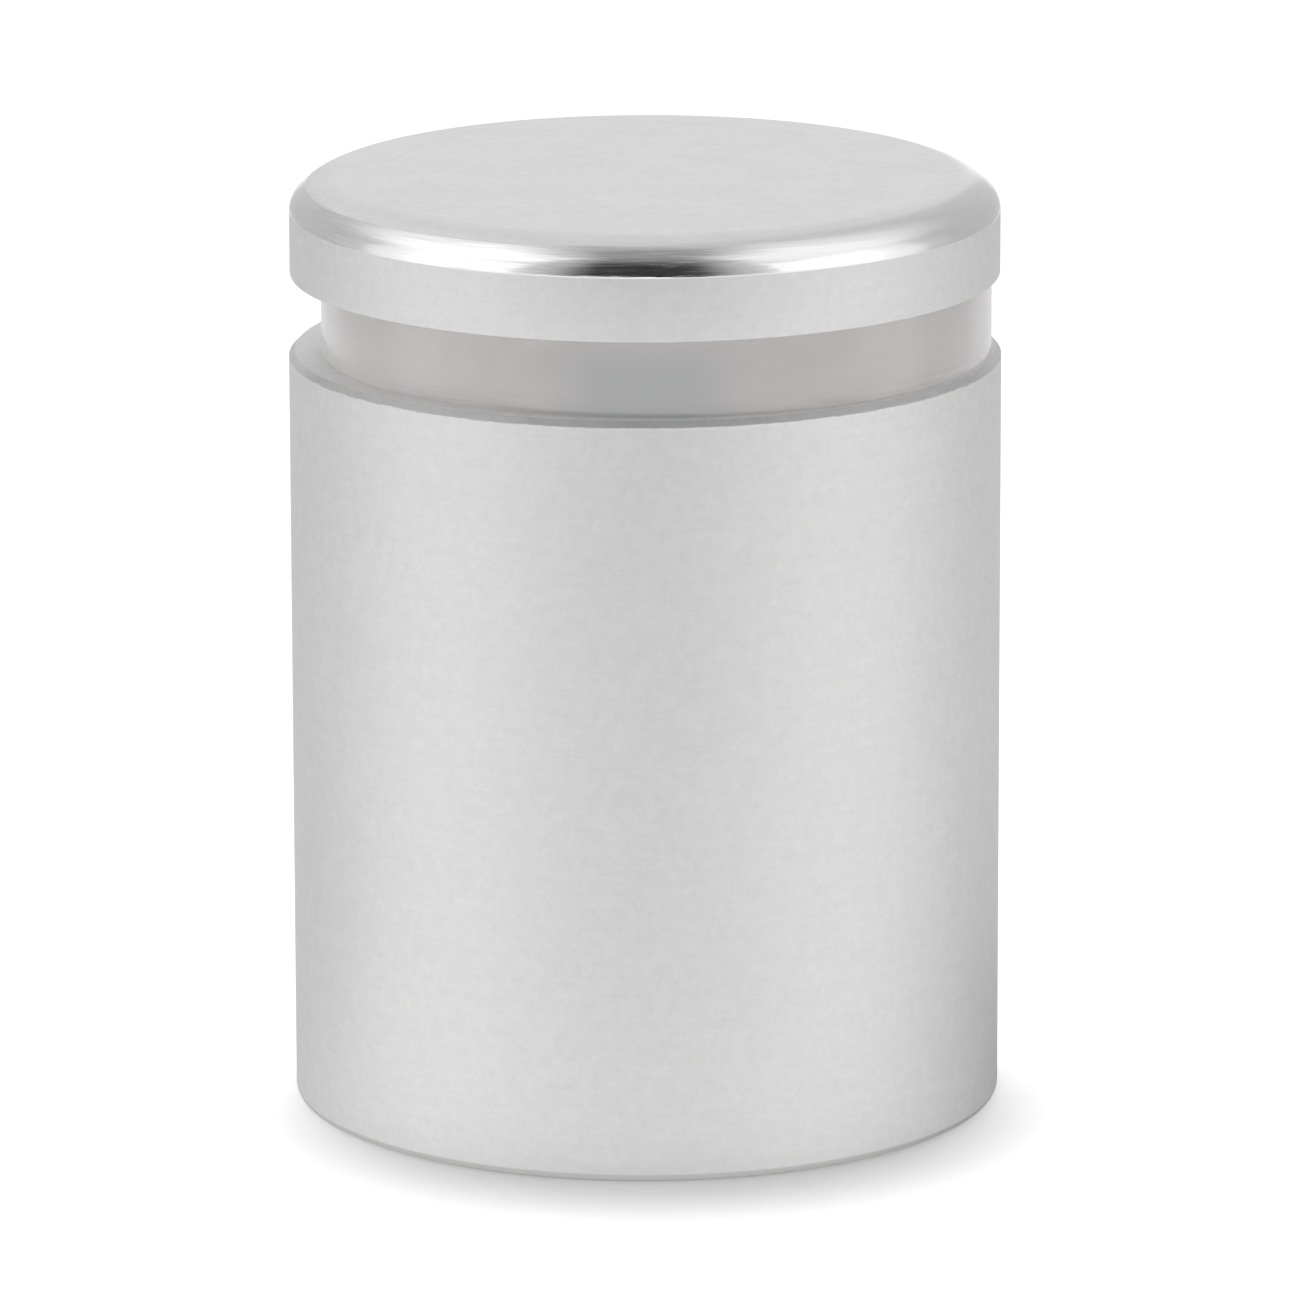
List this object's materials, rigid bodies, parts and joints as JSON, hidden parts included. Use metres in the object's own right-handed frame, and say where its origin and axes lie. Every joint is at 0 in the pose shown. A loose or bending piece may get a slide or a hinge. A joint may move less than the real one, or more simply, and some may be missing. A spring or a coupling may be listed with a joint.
{
  "type": "glass panel standoff",
  "caption": "Round satin aluminium standoff that clamps a glass panel off a wall: turned barrel, soft clear washers and a screw-on cap with a rounded polished shoulder.",
  "frame": {"origin": "centre of the barrel's foot, on the face that meets the wall", "axes": "+Z along the turning axis, from the foot to the cap; +X is the way the loose washers have slipped"},
  "size_m": [0.0254, 0.0254, 0.0336],
  "materials": {
    "barrel_satin": "fine satin, clear anodised",
    "cap_satin": "fine satin, clear anodised, with a polished shoulder",
    "washer_clear": "milky translucent soft plastic",
    "stud_zinc": "zinc plated"
  },
  "bodies": {
    "barrel": {"barrel": "barrel_satin", "lower_washer": "washer_clear"},
    "upper_washer": {"upper_washer": "washer_clear"},
    "cap": {"cap": "cap_satin", "stud": "stud_zinc"}
  },
  "joints": [
    {"name": "cap_lift", "type": "slide", "parent": "barrel", "child": "upper_washer", "axis": [0, 0, 1], "range_m": [0, 0.01]},
    {"name": "cap_turn", "type": "hinge", "parent": "upper_washer", "child": "cap", "pos_m": [0, 0, 0.0301], "axis": [0, 0, 1], "range_deg": [0, 2880]}
  ],
  "couplings": [
    {"joint": "cap_lift", "follows": "cap_turn", "m_per_rad": 0.00019894}
  ]
}
